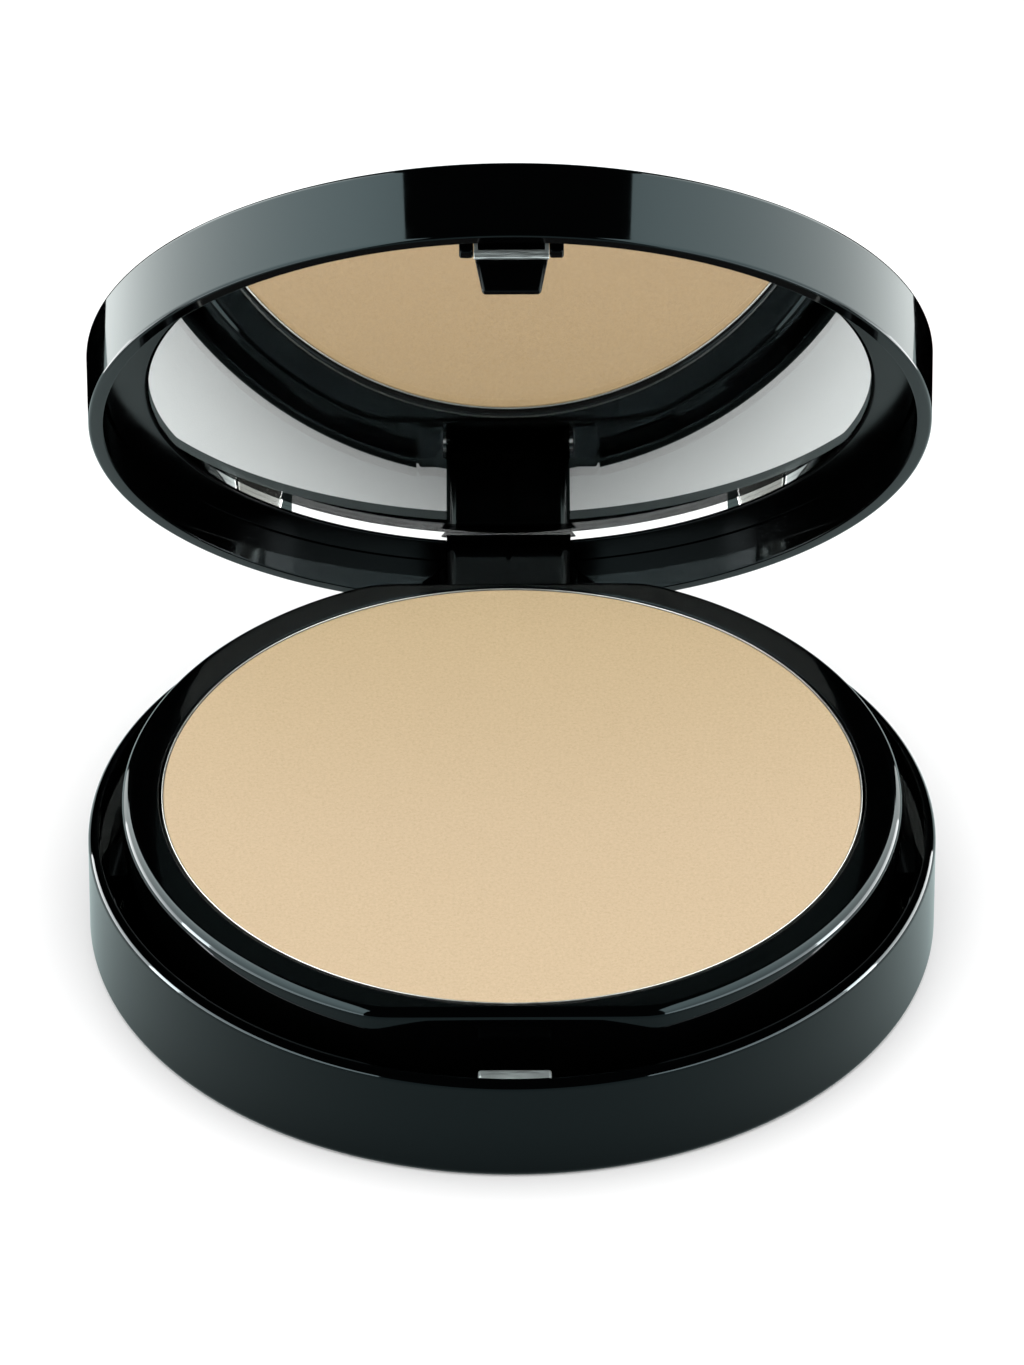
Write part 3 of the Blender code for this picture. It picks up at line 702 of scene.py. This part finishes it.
def card(name, corners, colour, stops, receivers):
    """A studio card seen only in the reflections of some pieces; stops are (height fraction, strength)."""
    mesh = bpy.data.meshes.new(name)
    mesh.from_pydata([tuple(c * MM for c in corner) for corner in corners], [], [(0, 1, 2, 3)])
    obj = link(name, mesh)
    mesh.materials.append(card_material(name, colour, stops))
    obj.visible_camera = False
    obj.visible_diffuse = False
    obj.visible_transmission = False
    obj.visible_shadow = False
    light_only(obj, receivers)
    return obj


def upright(x, ends_y, top):
    """Corners of a card that stands on the floor, parallel to the YZ plane."""
    low_y, high_y = ends_y
    return [(x, low_y, CARD_FOOT_Z), (x, high_y, CARD_FOOT_Z), (x, high_y, top), (x, low_y, top)]


def make_cards(edges, others):
    """Tall side cards, low ones and narrow ones for the base's rounded edges, and dark flags behind."""
    stops = [(0.0, 3.5), (0.16, 5.8), (0.27, 7.2), (0.40, 8.6), (0.55, 9.2), (0.91, 8.6)]
    platform = edges[1:]
    for side, label in ((-1, "left"), (1, "right")):
        top, scale = TALL_TOP[side], TALL_SCALE[side]
        levels = [(height * TALL_REFERENCE / top, strength * scale) for height, strength in stops]
        card("card_" + label, upright(side * TALL_X, TALL_Y, top), TALL_COLOUR, levels, others + platform)
        low_levels = [(0.0, LOW_STRENGTH)]
        card("low_card_" + label, upright(side * LOW_X, LOW_Y, LOW_TOP), WHITE, low_levels, edges + others)
        spark_levels = [(0.0, SPARK_STRENGTH)]
        card("spark_" + label, upright(side * SPARK_X, SPARK_Y, SPARK_TOP), WHITE, spark_levels, edges)
        low_x, high_x = sorted((side * FLAG_X[0], side * FLAG_X[1]))
        corners = [(low_x, FLAG_Y, CARD_FOOT_Z), (high_x, FLAG_Y, CARD_FOOT_Z)]
        corners += [(high_x, FLAG_Y, FLAG_TOP), (low_x, FLAG_Y, FLAG_TOP)]
        card("flag_" + label, corners, BLACK, [(0.0, 0.0)], others)


def background(tree, colour, strength):
    node = tree.nodes.new("ShaderNodeBackground")
    node.inputs["Color"].default_value = (*colour, 1.0)
    node.inputs["Strength"].default_value = strength
    return node.outputs["Background"]


def either(tree, factor, first, second):
    node = tree.nodes.new("ShaderNodeMixShader")
    tree.links.new(factor, node.inputs["Fac"])
    tree.links.new(first, node.inputs[1])
    tree.links.new(second, node.inputs[2])
    return node.outputs["Shader"]


def make_world():
    """White all round; reflections alone see a dark room with the cards in it."""
    world = bpy.data.worlds.new("studio")
    bpy.context.scene.world = world
    world.use_nodes = True
    tree = world.node_tree
    soft = tree.nodes["Background"]
    soft.inputs["Color"].default_value = (*WHITE, 1.0)
    soft.inputs["Strength"].default_value = 0.75
    backdrop = background(tree, WHITE, 1.6)
    dark = background(tree, (0.8, 1.0, 1.0), 0.02)
    seen = maths(tree, "MAXIMUM", ray(tree, "Is Camera Ray"), ray(tree, "Is Transmission Ray"))
    white = either(tree, seen, soft.outputs["Background"], backdrop)
    shown = either(tree, only_mirrored(tree), white, dark)
    tree.links.new(shown, tree.nodes["World Output"].inputs["Surface"])


def soft_sun(name, energy, spread_deg, tilt_deg, colour, receivers):
    """A very soft light on some objects alone, kept out of reflections. Tilt 0 shines straight down."""
    data = bpy.data.lights.new(name, "SUN")
    data.energy = energy
    data.angle = math.radians(spread_deg)
    data.color = colour
    light = link(name, data)
    light.rotation_euler = (math.radians(tilt_deg), 0.0, 0.0)
    light.visible_glossy = False
    light.visible_transmission = False
    light_only(light, receivers)


def make_camera():
    """A long lens 1.07 m away, 35.8 degrees down and 0.41 degrees to the left."""
    data = bpy.data.cameras.new("camera")
    data.lens = CAMERA_LENS
    data.sensor_width = CAMERA_SENSOR
    data.clip_start = 0.05
    camera = link("camera", data)
    x = -CAMERA_DISTANCE_Y * math.sin(CAMERA_YAW)
    y = -CAMERA_DISTANCE_Y * math.cos(CAMERA_YAW)
    camera.location = (x * MM, y * MM, CAMERA_HEIGHT * MM)
    camera.rotation_euler = (math.pi / 2 - CAMERA_PITCH, 0.0, -CAMERA_YAW)
    bpy.context.scene.camera = camera


def dress(node, material):
    """Gives a CAD node that keeps its own mesh a better material."""
    obj = frame["nodes"][node]
    obj.data.materials.clear()
    obj.data.materials.append(material)


def make_pieces():
    """Every piece; returns the rounded base edges, the other pieces and the powder."""
    case = gloss_black("case_black", 0.03, 0.06, 0.02, CASE_TINT)
    satin = frame_plastic()
    aluminium = metal("pan_aluminium", PAN_METAL, 0.30, 0.45, (1, 1, 1), 1500, 0.00001)
    trim = trim_metal()
    pin = metal("pin_steel", PIN_METAL, 0.25, 0.35, (0.1, 1, 1), 6000, 0.00001)
    silver = silvering()
    edges = [make_base_shell(case), make_platform(case)]
    others = [make_pan(aluminium)]
    powder = make_powder(powder_material())
    others += [make_strike_plate(trim), make_pin(pin), make_lid_shell(case), make_frame(satin)]
    others += [make_glass(glass_material()), make_silver(silver), make_hook(satin), make_trim(trim), powder]
    dress("base_label", plain_detail("label_grey", (0.16, 0.16, 0.17), 0.5, 0.65, 3000))
    dress("mirror_tape", plain_detail("tape_white", (0.85, 0.85, 0.83), 0.55, 0.7, 2500))
    dress("pan_adhesive", plain_detail("glue_clear", (0.80, 0.76, 0.66), 0.3, 0.5, 1200))
    return edges, others, powder


def main():
    edges, others, powder = make_pieces()
    floor = make_floor()
    soft_sun("floor_light", 2.4, 170, 0, WHITE, [floor])
    soft_sun("front_fill", 1.9, 50, 42, (1.0, 0.97, 0.88), [powder])
    make_cards(edges, others)
    make_world()
    make_camera()
    bpy.context.scene.view_settings.view_transform = "Standard"


main()
